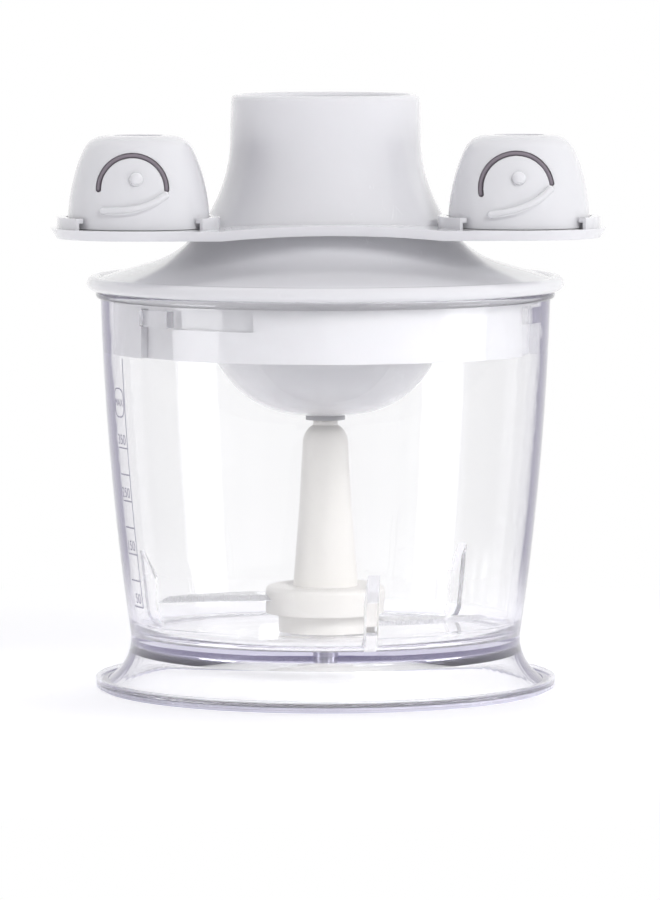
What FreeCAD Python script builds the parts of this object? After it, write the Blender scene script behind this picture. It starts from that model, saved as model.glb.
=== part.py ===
import FreeCAD, Part
import math
import os

# Baby food maker: a clear bowl with a knife, a trumpet-shaped lid with a planetary
# gear, and a yoke with two caps that sits on the flare of the lid.
# Millimetres, +Z up, origin on the table at the centre of the base, front towards -Y.

# Running clearance of a shaft in its bush, gap between moving faces, gap of a seated piece
RUN = 0.05
GAP = 0.4
SEAT = 0.1

# Foot and bowl, heights from the table
FLANGE_R = 57.5
FLANGE_LOW = 0.8
FLANGE_T = 1.6
FLANGE_LIP_W = 1.0
FLANGE_LIP_H = 0.6
FOOT_RING_IN = 1.5
FOOT_RING_W = 2.1
FOOT_RING_H = 1.4
FOOT_LEDGE = 3.0
WAIST_R = 48.7
WAIST_Z = 13.0
BELLY_R = 53.6
BELLY_Z = 55.0
MOUTH_R = 56.1
BOWL_WALL = 2.0
BOWL_TOP = 99.6
BEAD_OUT = 1.2
BEAD_H = 1.9
FLOOR_TOP = 14.0
FLOOR_T = 3.0
FLOOR_FILLET = 4.0
FLOOR_UNDER = 2.0
BAFFLE_ANGLES = (-79.0, 41.0, 161.0)
BAFFLE_W = 3.0
BAFFLE_DEPTH = 1.8
BAFFLE_TOP = 33.0
BAFFLE_POINT = 7.0

# Bayonet: lugs on the bowl wall, slots in the lid skirt, heights from the bowl rim
LUG_ANGLES = (-143.0, -23.0, 97.0)
LUG_LOW = -7.1
LUG_H = 4.0
LUG_SPAN = 11.0
LUG_BITE = 1.3
LOCK_TURN = 25.0

# Pivot pin, depth and height from the bowl floor
PIN_R = 2.0
PIN_DEPTH = 7.0
PIN_TOP = 20.0
PIN_BOSS_R = 5.0
PIN_BOSS_H = 5.5

# Lid shell, heights from the bowl rim; the flare runs through points beyond the neck's radius
NECK_BORE_R = 20.6
NECK_BORE_H = 18.0
NECK_WALL = 2.9
NECK_TOP = 48.8
FLARE_STEPS = ((0.3, 38.3), (1.2, 29.9), (5.7, 18.9), (14.0, 9.6), (22.5, 6.2))
SHELL_WALL = 2.4
RIM_BEAD_R = 1.8
RIM_OVER = 0.5
RIM_JOIN = (1.4, 1.13)

# Drive well: a cup pressed into the lid below the neck
WELL_STEP = 0.4
WELL_WALL = 2.2
WELL_SEAT = 2.2
WELL_TOP = 10.4
WELL_T = 2.0

# Lid skirt and seal
SKIRT_GAP = 0.6
SKIRT_WALL = 3.6
SKIRT_LOW = -15.1
SKIRT_FLANGE_IN = 0.8
SKIRT_FLANGE_T = 1.2
SKIRT_FLANGE_REACH = 4.4
LEDGE_REACH = 5.4
LEDGE_T = 2.5
SEAL_SHOW = 0.4
SEAL_IN = 0.6
SEAL_W = 2.2
SEAL_GROOVE = 0.6

# Gear case: a dish with a brim that closes the lid from below
DISH_IN = 19.33
DISH_CENTRE_Z = -7.14
DISH_ARC_R = 23.86
DISH_FILLET_R = 9.0
BRIM_LOW = -14.1
CASE_WALL = 2.2
CASE_TUBE_OVER = 2.7
CASE_TUBE_WALL = 2.3
CASE_HOLE_R = 7.0
CASE_BOSS_R = 9.2
CASE_BOSS_H = 8.4
SCREW_OUT = 3.3
SCREW_ANGLES = (60.0, 180.0, 300.0)
SCREW_BOSS_R = 3.4
SCREW_R = 1.5
SCREW_LENGTH = 7.0
SCREW_HEAD_R = 2.8
SCREW_HEAD_H = 2.0
SCREW_RECESS_R = 1.2
COVER_T = 2.2

# Planetary gears: tooth counts of sun, planets and ring
MODULE = 0.9
SUN_TEETH = 12
PLANET_TEETH = 18
RING_TEETH = 48
PLANETS = 3
PRESSURE_ANGLE = 25.0
ADDENDUM = 0.85
DEDENDUM = 1.1
BACKLASH = 0.12
RING_WALL = 2.41
RING_UP = 0.4
RING_H = 8.6
PLANET_LIFT = 0.3
PLANET_H = 8.0
PLANET_PIN_R = 2.0
PLANET_PIN_OVER = 0.6

# Carrier, its bearing and the input shaft
CARRIER_EDGE = 3.5
CARRIER_T = 2.8
CARRIER_PLAY = 0.2
CARRIER_HUB_R = 4.9
CARRIER_HUB_DROP = 1.3
SOCKET_FLATS = 5.4
SOCKET_DEPTH = 10.5
WASHER_T = 1.0
BUSH_FLANGE_R = 8.8
BUSH_FLANGE_T = 1.2
SHAFT_SEAL_UP = 0.2
SHAFT_SEAL_T = 1.2
INPUT_R = 3.0
INPUT_BUSH_R = 6.0
INPUT_BUSH_FLANGE_R = 8.0
INPUT_SEAL_R = 8.0
DOG_FLATS = 12.0
DOG_DISC_R = 9.5
DOG_DISC_T = 2.2
DOG_LIFT = 0.8
DOG_H = 16.2
DOG_LEAD = 2.5
DOG_CAP = 3.0

# Knife, heights from the bowl floor
KNIFE_LIFT = 0.4
COLLAR_R = 11.75
COLLAR_TOP = 5.0
HUB_R = 15.0
HUB_TOP = 11.7
HUB_ROUND = 1.2
HUB_HOLLOW_R0 = 4.6
HUB_HOLLOW_R1 = 9.4
HUB_HOLLOW_H = 3.0
STEM_LOW_R = 8.1
STEM_MID_R = 6.6
STEM_MID_Z = 31.0
SHOULDER_R = 5.7
SHOULDER_DROP = 6.0
NECK_STEM_R = 3.06
NECK_STEM_DROP = 1.3
KNIFE_END_GAP = 0.6
BLADE_T = 1.2
BLADE_CLEAR = 3.5
BLADE_ROOT = 6.0
BLADE_ROOT_W = 13.0
BLADE_TIP_W = 6.0
BLADE_BEVEL_W = 3.2
BLADE_EDGE_T = 0.25
UPPER_BLADE_Z = 8.4
LOWER_BLADE_Z = 2.2

# Caps
CAP_R = 17.5
CAP_ELLIPSE_H = 30.0
CAP_H = 22.6
CAP_ROUND = 6.0
CAP_WALL = 1.6
CAP_TOP_T = 3.0
CAP_RECESS_R = 6.1
CAP_RECESS_H = 1.6
SLEEVE_WALL = 1.7
SLEEVE_UP = 5.0
TAB_OUT = 1.3
TAB_H = 1.1
TAB_SPAN = 50.0
SLOT_R = 8.3
SLOT_W = 1.3
SLOT_X = -1.7
SLOT_Z = 9.8
SLOT_DEPTH_Y = 8.2
RIGHT_SLOT_R = 8.7
RIGHT_TILT = 9.0
BOSS_R = 1.5
BOSS_X = -0.8
BOSS_Z = 12.4
BAR_W = 1.7
BAR_LEFT = (-8.7, 4.7)
BAR_BEND = (1.4, 5.8)
BAR_RIGHT = (6.2, 8.4)
RELIEF = 0.9

# Yoke: its trays sit as low on the flare as the caps' clearance from it allows
CAP_X = 46.9
CAP_Y = -19.0
CAP_CLEAR = 1.1
TRAY_EDGE = 1.6
YOKE_T = 2.5
YOKE_ARCH = 1.3
ARCH_HALF = 27.0
YOKE_RING_W = 2.8
YOKE_TAPER = 1.6
YOKE_FIT = 0.35
CLIP_WALL = 0.9
CLIP_PLAY = 0.35
CLIP_LIP_T = 1.2
CLIP_SPAN = 80.0
POST_R = 5.0
POST_HOLE_R = 3.2
POST_H = 15.0

# Sizes that follow from the ones above: bowl and lid
FLANGE_TOP = FLANGE_LOW + FLANGE_T
FOOT_R = FLANGE_R - FOOT_LEDGE
FOOT_RING_R1 = FLANGE_R - FOOT_RING_IN
FOOT_RING_R0 = FOOT_RING_R1 - FOOT_RING_W
BEAD_R = MOUTH_R + BEAD_OUT
NECK_R = NECK_BORE_R + NECK_WALL
RIM_CENTRE_R = BEAD_R + RIM_OVER
RIM_CENTRE_Z = RIM_BEAD_R + SEAT
FLARE_END = (RIM_CENTRE_R - RIM_JOIN[0], RIM_CENTRE_Z + RIM_JOIN[1])
FLARE = [(NECK_R + out, z) for out, z in FLARE_STEPS] + [FLARE_END]
WELL_BORE_R = NECK_BORE_R - WELL_STEP
WELL_R = WELL_BORE_R + WELL_WALL
SKIRT_FLANGE_R = RIM_CENTRE_R - SKIRT_FLANGE_IN
SEAL_R1 = SKIRT_FLANGE_R - SEAL_IN
SEAL_R0 = SEAL_R1 - SEAL_W

# Sizes that follow: the gears and the pieces stacked below and above them
PLANET_CENTRE = MODULE * (SUN_TEETH + PLANET_TEETH) / 2
RING_R = MODULE * (RING_TEETH / 2 + DEDENDUM) + RING_WALL
DISH_CENTRE_R = RING_R - DISH_IN
DISH_LOW = DISH_CENTRE_Z - DISH_ARC_R
CASE_BOSS_TOP = DISH_LOW + CASE_BOSS_H
SCREW_CIRCLE_R = RING_R + CASE_TUBE_WALL + SCREW_OUT
SHAFT_SEAL_LOW = DISH_LOW + SHAFT_SEAL_UP
BUSH_LOW = SHAFT_SEAL_LOW + SHAFT_SEAL_T
CARRIER_R = PLANET_CENTRE + PLANET_PIN_R + CARRIER_EDGE
CARRIER_HUB_LOW = DISH_LOW - CARRIER_HUB_DROP
CARRIER_LOW = CASE_BOSS_TOP + BUSH_FLANGE_T + CARRIER_PLAY + WASHER_T
CARRIER_TOP = CARRIER_LOW + CARRIER_T
PLANET_LOW = CARRIER_TOP + PLANET_LIFT
PLANET_TOP = PLANET_LOW + PLANET_H
RING_LOW = PLANET_LOW + RING_UP
RING_TOP = RING_LOW + RING_H
CASE_TUBE_TOP = RING_TOP + CASE_TUBE_OVER
DOG_LOW = WELL_TOP + DOG_LIFT
DOG_TOP = DOG_LOW + DOG_H
INPUT_TOP = DOG_TOP - DOG_CAP

# Sizes that follow: caps and the clips that hold them
TAB_R = CAP_R + TAB_OUT
CLIP_R0 = CAP_R + GAP
CLIP_R1 = TAB_R + GAP + CLIP_WALL
CLIP_H = SEAT + TAB_H + CLIP_PLAY + CLIP_LIP_T
TRAY_R = CLIP_R1 + TRAY_EDGE


def place(r, z):
    """Point of an (r, z) outline in the plane y = 0."""
    return FreeCAD.Vector(r, 0, z)


def curve(points):
    """Edge through (r, z) points: two make a line, three an arc, more a smooth curve."""
    spots = [place(r, z) for r, z in points]
    if len(spots) == 2:
        return Part.LineSegment(*spots).toShape()
    if len(spots) == 3:
        return Part.Arc(*spots).toShape()
    spline = Part.BSplineCurve()
    spline.interpolate(spots)
    return spline.toShape()


def outline(start, *steps):
    """Closed face: a step that is one pair draws a line to it, several pairs a curve through them."""
    edges = []
    here = start
    for step in steps + (start,):
        points = [step] if isinstance(step[0], (int, float)) else list(step)
        edges.append(curve([here] + points))
        here = points[-1]
    return Part.Face(Part.Wire(edges))


def turned(start, *steps):
    """Solid of revolution about the Z axis."""
    return outline(start, *steps).revolve(FreeCAD.Vector(), FreeCAD.Vector(0, 0, 1), 360)


def tube(r0, r1, z0, z1):
    """Upright ring, or a disc when r0 is 0."""
    ring = Part.makeCylinder(r1, z1 - z0, place(0, z0))
    if r0 > 0:
        ring = ring.cut(Part.makeCylinder(r0, z1 - z0, place(0, z0)))
    return ring


def sector(r0, r1, z0, z1, middle, span):
    """Piece of an upright ring, span degrees wide about the angle middle."""
    face = outline((r0, z0), (r1, z0), (r1, z1), (r0, z1))
    piece = face.revolve(FreeCAD.Vector(), FreeCAD.Vector(0, 0, 1), span)
    piece.rotate(FreeCAD.Vector(), FreeCAD.Vector(0, 0, 1), middle - span / 2)
    return piece


def spun(shape, angle):
    """Copy turned about the Z axis."""
    copy = shape.copy()
    copy.rotate(FreeCAD.Vector(), FreeCAD.Vector(0, 0, 1), angle)
    return copy


def shifted(shape, x=0, y=0, z=0):
    """Copy moved by x, y, z."""
    copy = shape.copy()
    copy.translate(FreeCAD.Vector(x, y, z))
    return copy


def hexagon(flats, z0, z1):
    """Upright hexagonal bar."""
    corner = flats / math.sqrt(3)
    turns = [math.radians(60 * k) for k in range(7)]
    spots = [FreeCAD.Vector(corner * math.cos(t), corner * math.sin(t), z0) for t in turns]
    return Part.Face(Part.makePolygon(spots)).extrude(FreeCAD.Vector(0, 0, z1 - z0))


def flare_points(offset, count=7):
    """Points beside the flare of the lid, offset outwards along its normal."""
    edge = curve(FLARE)
    first, last = edge.ParameterRange
    points = []
    for k in range(count):
        at = first + (last - first) * k / (count - 1)
        spot = edge.valueAt(at)
        along = edge.tangentAt(at)
        points.append((spot.x - along.z * offset, spot.z + along.x * offset))
    return points


def bowl_radius(z):
    """Outer radius of the bowl wall, on the arc through waist, belly and mouth."""
    wall = curve([(WAIST_R, WAIST_Z), (BELLY_R, BELLY_Z), (MOUTH_R, BOWL_TOP - BEAD_H)])
    level = Part.LineSegment(place(0, z), place(2 * FLANGE_R, z)).toShape()
    return wall.distToShape(level)[1][0][0].x


def skirt_radius():
    """Outer radius of the lid skirt, which clears the bowl wall where the wall is narrowest."""
    narrow = min(bowl_radius(BOWL_TOP + SKIRT_LOW), bowl_radius(BOWL_TOP - BEAD_H))
    return narrow - BOWL_WALL - SKIRT_GAP


def lug_radius():
    """Radius of the lug tips, which bite into the slots of the skirt."""
    return skirt_radius() - LUG_BITE


def flare_radius(z):
    """Radius of the flare of the lid at a height."""
    level = Part.LineSegment(place(0, z), place(2 * FLANGE_R, z)).toShape()
    return curve(FLARE).distToShape(level)[1][0][0].x


def tray_top():
    """Height of the trays: the flare's height just inside the reach of the caps."""
    r = math.hypot(CAP_X, CAP_Y) - TAB_R - CAP_CLEAR
    upright = Part.LineSegment(place(r, 0), place(r, NECK_TOP)).toShape()
    return curve(FLARE).distToShape(upright)[1][0][0].z


def foot_arc(offset, z_low, z_high):
    """Flare of the foot, upright at the waist: low, middle and high point of an arc, offset inwards."""
    spread = FOOT_R - WAIST_R
    height = WAIST_Z - FLANGE_TOP
    radius = (spread ** 2 + height ** 2) / (2 * spread)
    reach = radius + offset
    low = math.asin((WAIST_Z - z_low) / reach)
    high = math.asin((WAIST_Z - z_high) / reach)
    turns = (low, (low + high) / 2, high)
    return [(WAIST_R + radius - reach * math.cos(a), WAIST_Z - reach * math.sin(a)) for a in turns]


def make_bowl():
    """Clear bowl: flange, flared foot, raised floor, arched wall and rim bead in one turned piece."""
    bead_low = BOWL_TOP - BEAD_H
    floor_low = FLOOR_TOP - FLOOR_T
    outside = foot_arc(0, FLANGE_TOP, WAIST_Z)
    inside = foot_arc(BOWL_WALL, FLANGE_LOW, floor_low - FLOOR_UNDER)
    lip_r = FLANGE_R - FLANGE_LIP_W
    wall_in = [(bowl_radius(FLOOR_TOP + FLOOR_FILLET) - BOWL_WALL, FLOOR_TOP + FLOOR_FILLET),
               (BELLY_R - BOWL_WALL, BELLY_Z), (MOUTH_R - BOWL_WALL, BOWL_TOP)]
    corner_r = wall_in[0][0] - FLOOR_FILLET
    slant = FLOOR_FILLET * (1 - math.sqrt(0.5))
    corner = (wall_in[0][0] - slant, FLOOR_TOP + slant)
    body = turned(
        (0, FLOOR_TOP), (corner_r, FLOOR_TOP), [corner, wall_in[0]], wall_in[1:],
        (BEAD_R - BEAD_H / 2, BOWL_TOP), [(BEAD_R, BOWL_TOP - BEAD_H / 2), (BEAD_R - BEAD_H / 2, bead_low)],
        (MOUTH_R, bead_low), [(BELLY_R, BELLY_Z), (WAIST_R, WAIST_Z)], [outside[1], outside[0]],
        (lip_r, FLANGE_TOP), (lip_r, FLANGE_TOP + FLANGE_LIP_H), (FLANGE_R, FLANGE_TOP + FLANGE_LIP_H),
        (FLANGE_R, FLANGE_LOW), inside[0], inside[1:],
        (inside[2][0] - FLOOR_UNDER, floor_low), (0, floor_low))
    boss = tube(0, PIN_BOSS_R, floor_low - PIN_BOSS_H, floor_low)
    lug_z = BOWL_TOP + LUG_LOW
    wall_r = MOUTH_R - BOWL_WALL / 2
    lugs = [sector(lug_radius(), wall_r, lug_z, lug_z + LUG_H, a, LUG_SPAN) for a in LUG_ANGLES]
    foot_groove = tube(FOOT_RING_R0, FOOT_RING_R1, 0, FOOT_RING_H)
    pin_hole = tube(0, PIN_R, FLOOR_TOP - PIN_DEPTH, FLOOR_TOP)
    return body.fuse([boss] + lugs + make_baffles()).cut([foot_groove, pin_hole])


def make_baffles():
    """Upright ribs on the bowl wall, with a slanting top, that throw the food back to the knife."""
    low_r = bowl_radius(FLOOR_TOP) - BOWL_WALL
    high_r = bowl_radius(BAFFLE_TOP) - BOWL_WALL
    back = BOWL_WALL / 2
    side = outline((low_r - BAFFLE_DEPTH - FLOOR_FILLET / 2, FLOOR_TOP), (low_r + back, FLOOR_TOP),
                   (high_r + back, BAFFLE_TOP), (high_r, BAFFLE_TOP),
                   (low_r - BAFFLE_DEPTH, BAFFLE_TOP - BAFFLE_POINT),
                   (low_r - BAFFLE_DEPTH, FLOOR_TOP + FLOOR_FILLET))
    rib = shifted(side, y=-BAFFLE_W / 2).extrude(FreeCAD.Vector(0, BAFFLE_W, 0))
    return [spun(rib, a) for a in BAFFLE_ANGLES]


def make_pivot_pin():
    """Steel pin with a rounded top, pressed into the bowl floor."""
    dome = PIN_R * math.sqrt(0.5)
    return turned((0, -PIN_DEPTH), (PIN_R, -PIN_DEPTH), (PIN_R, PIN_TOP - PIN_R),
                  [(dome, PIN_TOP - PIN_R + dome), (0, PIN_TOP)])


def make_lid_shell():
    """Trumpet lid: neck with a straight socket inside, flare, rolled rim and a seat for the drive well."""
    lip = (NECK_R - NECK_BORE_R) / 2
    lip_z = NECK_TOP - lip
    rim_low = RIM_CENTRE_Z - RIM_BEAD_R
    pocket_r = SKIRT_FLANGE_R + SEAT
    pocket_z = SEAL_SHOW + SKIRT_FLANGE_T
    under = [p for p in flare_points(-SHELL_WALL, 25) if p[0] > WELL_R + WELL_SEAT and p[1] > pocket_z]
    under = under[::-1][::4] + [under[0]]
    step_z = lip_z - NECK_BORE_H
    return turned(
        (NECK_BORE_R, lip_z), [(NECK_R - lip, NECK_TOP), (NECK_R, lip_z)], FLARE[0], FLARE[1:],
        [(RIM_CENTRE_R + RIM_BEAD_R, RIM_CENTRE_Z), (RIM_CENTRE_R, rim_low)],
        (pocket_r, rim_low), (pocket_r, pocket_z), (under[0][0], pocket_z), under[0], under[1:],
        (WELL_R, under[-1][1]), (WELL_R, step_z), (NECK_BORE_R, step_z))


def make_drive_well():
    """Cup below the neck: its wall carries the socket on down, its floor holds the input seal."""
    step_z = NECK_TOP - (NECK_R - NECK_BORE_R) / 2 - NECK_BORE_H
    low = WELL_TOP - WELL_T
    return turned((INPUT_SEAL_R, low), (WELL_R, low), (WELL_R, step_z), (WELL_BORE_R, step_z),
                  (WELL_BORE_R, WELL_TOP), (INPUT_SEAL_R, WELL_TOP))


def make_lid_skirt():
    """Bayonet skirt: a ring with a top flange, an inner ledge and an L-shaped slot for each lug."""
    outer = skirt_radius()
    inner = outer - SKIRT_WALL
    flange_r = inner - SKIRT_FLANGE_REACH
    flange_top = SEAL_SHOW + SKIRT_FLANGE_T
    ledge_r = inner - LEDGE_REACH
    ledge_low = BRIM_LOW + CASE_WALL
    body = turned(
        (inner, SKIRT_LOW), (outer, SKIRT_LOW), (outer, SEAL_SHOW), (SKIRT_FLANGE_R, SEAL_SHOW),
        (SKIRT_FLANGE_R, flange_top), (flange_r, flange_top), (flange_r, SEAL_SHOW), (inner, SEAL_SHOW),
        (inner, ledge_low + LEDGE_T), (ledge_r, ledge_low + LEDGE_T),
        (ledge_r, ledge_low), (inner, ledge_low))
    groove_r = lug_radius() - GAP
    side = math.degrees(2 * GAP / outer)
    cuts = [tube(SEAL_R0, SEAL_R1, SEAL_SHOW, SEAL_SHOW + SEAL_GROOVE)]
    for angle in LUG_ANGLES:
        low = LUG_LOW - GAP
        high = LUG_LOW + LUG_H + GAP
        width = LUG_SPAN + 2 * side
        cuts.append(sector(groove_r, MOUTH_R, SKIRT_LOW - GAP, high, angle, width))
        cuts.append(sector(groove_r, MOUTH_R, low, high, angle + LOCK_TURN / 2, width + LOCK_TURN))
    return body.cut(cuts)


def make_lid_seal():
    """Soft ring in the groove of the skirt flange, resting on the bowl rim."""
    return tube(SEAL_R0 + SEAT, SEAL_R1 - SEAT, 0, SEAL_SHOW + SEAL_GROOVE - RUN)


def dish_edge(inset):
    """Dish of the gear case, from the centre line out to the brim, inset from the outer face."""
    radius = DISH_ARC_R - inset
    fillet = DISH_FILLET_R + inset
    reach = DISH_ARC_R + DISH_FILLET_R
    drop = DISH_CENTRE_Z - (BRIM_LOW - DISH_FILLET_R)
    lean = math.asin(drop / reach)
    fillet_r = DISH_CENTRE_R + reach * math.cos(lean)
    fillet_z = BRIM_LOW - DISH_FILLET_R
    half = (lean + math.pi / 2) / 2
    bottom = (DISH_CENTRE_R, DISH_CENTRE_Z - radius)
    middle = (DISH_CENTRE_R + radius * math.cos(half), DISH_CENTRE_Z - radius * math.sin(half))
    join = (DISH_CENTRE_R + radius * math.cos(lean), DISH_CENTRE_Z - radius * math.sin(lean))
    bend = (fillet_r - fillet * math.cos(half), fillet_z + fillet * math.sin(half))
    return bottom, middle, join, bend, (fillet_r, fillet_z + fillet)


def at_screws(shape):
    """Copies of a piece from the Z axis, one at each screw of the gear cover."""
    return [spun(shifted(shape, x=SCREW_CIRCLE_R), a) for a in SCREW_ANGLES]


def at_planets(shape):
    """Copies of a piece from the Z axis, one at each planet gear."""
    return [spun(shifted(shape, x=PLANET_CENTRE), 360 * k / PLANETS) for k in range(PLANETS)]


def make_gear_case():
    """Dish with a brim, a bearing boss, a tube that holds the ring gear and three screw bosses."""
    low = dish_edge(0)
    high = dish_edge(CASE_WALL)
    brim_r = skirt_radius() - SKIRT_WALL - GAP
    dish = turned(
        (0, low[0][1]), low[0], [low[1], low[2]], [low[3], low[4]], (brim_r, BRIM_LOW),
        (brim_r, BRIM_LOW + CASE_WALL), high[4], [high[3], high[2]], [high[1], high[0]], (0, high[0][1]))
    boss = tube(0, CASE_BOSS_R, low[0][1] + CASE_WALL / 2, CASE_BOSS_TOP)
    wall = tube(RING_R, RING_R + CASE_TUBE_WALL, BRIM_LOW, CASE_TUBE_TOP)
    post = tube(0, SCREW_BOSS_R, BRIM_LOW + CASE_WALL / 2, CASE_TUBE_TOP)
    case = dish.fuse([boss, wall] + at_screws(post))
    holes = at_screws(tube(0, SCREW_R, CASE_TUBE_TOP - SCREW_LENGTH, CASE_TUBE_TOP))
    return case.cut([tube(0, CASE_HOLE_R, low[0][1] - 1, CASE_BOSS_TOP)] + holes)


def make_gear_cover():
    """Plate over the gears with an ear for each screw and a hole for the input bush."""
    plate = tube(0, RING_R + CASE_TUBE_WALL, CASE_TUBE_TOP, CASE_TUBE_TOP + COVER_T)
    ears = at_screws(tube(0, SCREW_BOSS_R, CASE_TUBE_TOP, CASE_TUBE_TOP + COVER_T))
    holes = at_screws(tube(0, SCREW_R, CASE_TUBE_TOP, CASE_TUBE_TOP + COVER_T))
    bore = tube(0, INPUT_BUSH_R, CASE_TUBE_TOP, CASE_TUBE_TOP + COVER_T)
    return plate.fuse(ears).cut(holes + [bore])


def make_gear_cover_screws():
    """Three pan-head screws with a cross recess, as one group."""
    seat = CASE_TUBE_TOP + COVER_T
    shank = tube(0, SCREW_R, CASE_TUBE_TOP - SCREW_LENGTH, seat)
    head = tube(0, SCREW_HEAD_R, seat, seat + SCREW_HEAD_H)
    head = head.makeFillet(SCREW_HEAD_H / 3, [head.Edges[0]])
    slot_w = SCREW_RECESS_R / 2
    slot = Part.makeBox(2 * SCREW_RECESS_R, slot_w, SCREW_HEAD_H / 2,
                        FreeCAD.Vector(-SCREW_RECESS_R, -slot_w / 2, seat + SCREW_HEAD_H / 2))
    return Part.makeCompound(at_screws(shank.fuse(head).cut([slot, spun(slot, 90)])))


def tooth_angle(teeth, radius, play):
    """Half the angle of a tooth at a radius, on involute flanks; play widens it."""
    pressure = math.radians(PRESSURE_ANGLE)
    pitch_r = MODULE * teeth / 2
    lean = math.acos(min(1.0, pitch_r * math.cos(pressure) / radius))
    middle = math.pi / (2 * teeth) + play / (2 * pitch_r)
    return middle + (math.tan(pressure) - pressure) - (math.tan(lean) - lean)


def gear_bar(teeth, root_r, tip_r, play, z0, z1):
    """Bar with involute teeth, the first tooth on +X."""
    base_r = MODULE * teeth / 2 * math.cos(math.radians(PRESSURE_ANGLE))
    start_r = max(base_r, root_r)
    radii = [start_r + (tip_r - start_r) * k / 3 for k in range(4)]

    def spot(radius, angle):
        return FreeCAD.Vector(radius * math.cos(angle), radius * math.sin(angle), z0)

    def arc(radius, first, last):
        return Part.Arc(spot(radius, first), spot(radius, (first + last) / 2), spot(radius, last)).toShape()

    def flank(side, middle):
        spline = Part.BSplineCurve()
        spline.interpolate([spot(r, middle + side * tooth_angle(teeth, r, play)) for r in radii])
        return spline.toShape()

    edges = []
    foot = tooth_angle(teeth, start_r, play)
    head = tooth_angle(teeth, tip_r, play)
    step = 2 * math.pi / teeth
    for k in range(teeth):
        middle = k * step
        edges.append(flank(-1, middle))
        edges.append(arc(tip_r, middle - head, middle + head))
        edges.append(flank(1, middle))
        if start_r > root_r:
            edges.append(Part.LineSegment(spot(start_r, middle + foot),
                                          spot(root_r, middle + foot)).toShape())
        edges.append(arc(root_r, middle + foot, middle + step - foot))
        if start_r > root_r:
            edges.append(Part.LineSegment(spot(root_r, middle + step - foot),
                                          spot(start_r, middle + step - foot)).toShape())
    face = Part.Face(Part.Wire(Part.__sortEdges__(edges)))
    return face.extrude(FreeCAD.Vector(0, 0, z1 - z0))


def toothed(teeth, z0, z1):
    """Spur gear body without its bore."""
    pitch_r = MODULE * teeth / 2
    return gear_bar(teeth, pitch_r - DEDENDUM * MODULE, pitch_r + ADDENDUM * MODULE, -BACKLASH, z0, z1)


def make_ring_gear():
    """Ring with inner teeth, fixed in the gear case."""
    pitch_r = MODULE * RING_TEETH / 2
    hollow = gear_bar(RING_TEETH, pitch_r - ADDENDUM * MODULE, pitch_r + DEDENDUM * MODULE, BACKLASH,
                      RING_LOW, RING_TOP)
    return tube(0, RING_R, RING_LOW, RING_TOP).cut(hollow)


def make_planet_gears():
    """Planet gears that run on their pins."""
    bore = tube(0, PLANET_PIN_R + RUN, PLANET_LOW, PLANET_TOP)
    return at_planets(toothed(PLANET_TEETH, PLANET_LOW, PLANET_TOP).cut(bore))


def make_sun_gear():
    """Input shaft with the sun gear cut on its lower end."""
    gear = spun(toothed(SUN_TEETH, PLANET_LOW, RING_TOP), 180 / SUN_TEETH)
    return gear.fuse(tube(0, INPUT_R, PLANET_LOW, INPUT_TOP))


def make_planet_pins():
    """Three pins pressed into the carrier, as one group."""
    return Part.makeCompound(at_planets(tube(0, PLANET_PIN_R, CARRIER_LOW, PLANET_TOP + PLANET_PIN_OVER)))


def make_planet_carrier():
    """Disc below the planets with a hub that reaches through the case and holds the knife."""
    disc = tube(0, CARRIER_R, CARRIER_LOW, CARRIER_TOP)
    hub = tube(0, CARRIER_HUB_R, CARRIER_HUB_LOW, CARRIER_LOW)
    socket = hexagon(SOCKET_FLATS, CARRIER_HUB_LOW, CARRIER_HUB_LOW + SOCKET_DEPTH)
    holes = at_planets(tube(0, PLANET_PIN_R, CARRIER_LOW, CARRIER_TOP))
    return disc.fuse(hub).cut([socket] + holes)


def make_thrust_washer():
    """Flat washer between the carrier and the flange of its bush."""
    return tube(CARRIER_HUB_R + RUN, BUSH_FLANGE_R, CARRIER_LOW - WASHER_T, CARRIER_LOW)


def make_output_bush():
    """Flanged bush of the carrier hub."""
    flange = tube(CARRIER_HUB_R + RUN, BUSH_FLANGE_R, CASE_BOSS_TOP, CASE_BOSS_TOP + BUSH_FLANGE_T)
    return flange.fuse(tube(CARRIER_HUB_R + RUN, CASE_HOLE_R, BUSH_LOW, CASE_BOSS_TOP))


def make_shaft_seal():
    """Soft ring below the bush that keeps food out of the gears."""
    return tube(CARRIER_HUB_R + RUN, CASE_HOLE_R, SHAFT_SEAL_LOW, BUSH_LOW)


def make_input_bush():
    """Flanged bush of the input shaft in the gear cover."""
    seat = CASE_TUBE_TOP + COVER_T
    flange = tube(INPUT_R + RUN, INPUT_BUSH_FLANGE_R, seat, seat + BUSH_FLANGE_T)
    return flange.fuse(tube(INPUT_R + RUN, INPUT_BUSH_R, CASE_TUBE_TOP, seat))


def make_input_seal():
    """Soft ring in the floor of the well."""
    return tube(INPUT_R + RUN, INPUT_SEAL_R, WELL_TOP - WELL_T, WELL_TOP)


def make_drive_coupling():
    """Hexagonal dog on the input shaft, with a lead-in, that a motor unit drives."""
    corner = DOG_FLATS / math.sqrt(3)
    disc = tube(0, DOG_DISC_R, DOG_LOW, DOG_LOW + DOG_DISC_T)
    cone = turned((0, DOG_LOW), (corner, DOG_LOW), (corner, DOG_TOP - DOG_LEAD),
                  (corner - DOG_LEAD, DOG_TOP), (0, DOG_TOP))
    dog = hexagon(DOG_FLATS, DOG_LOW, DOG_TOP).common(cone)
    return disc.fuse(dog).cut(tube(0, INPUT_R, DOG_LOW, INPUT_TOP))


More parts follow.
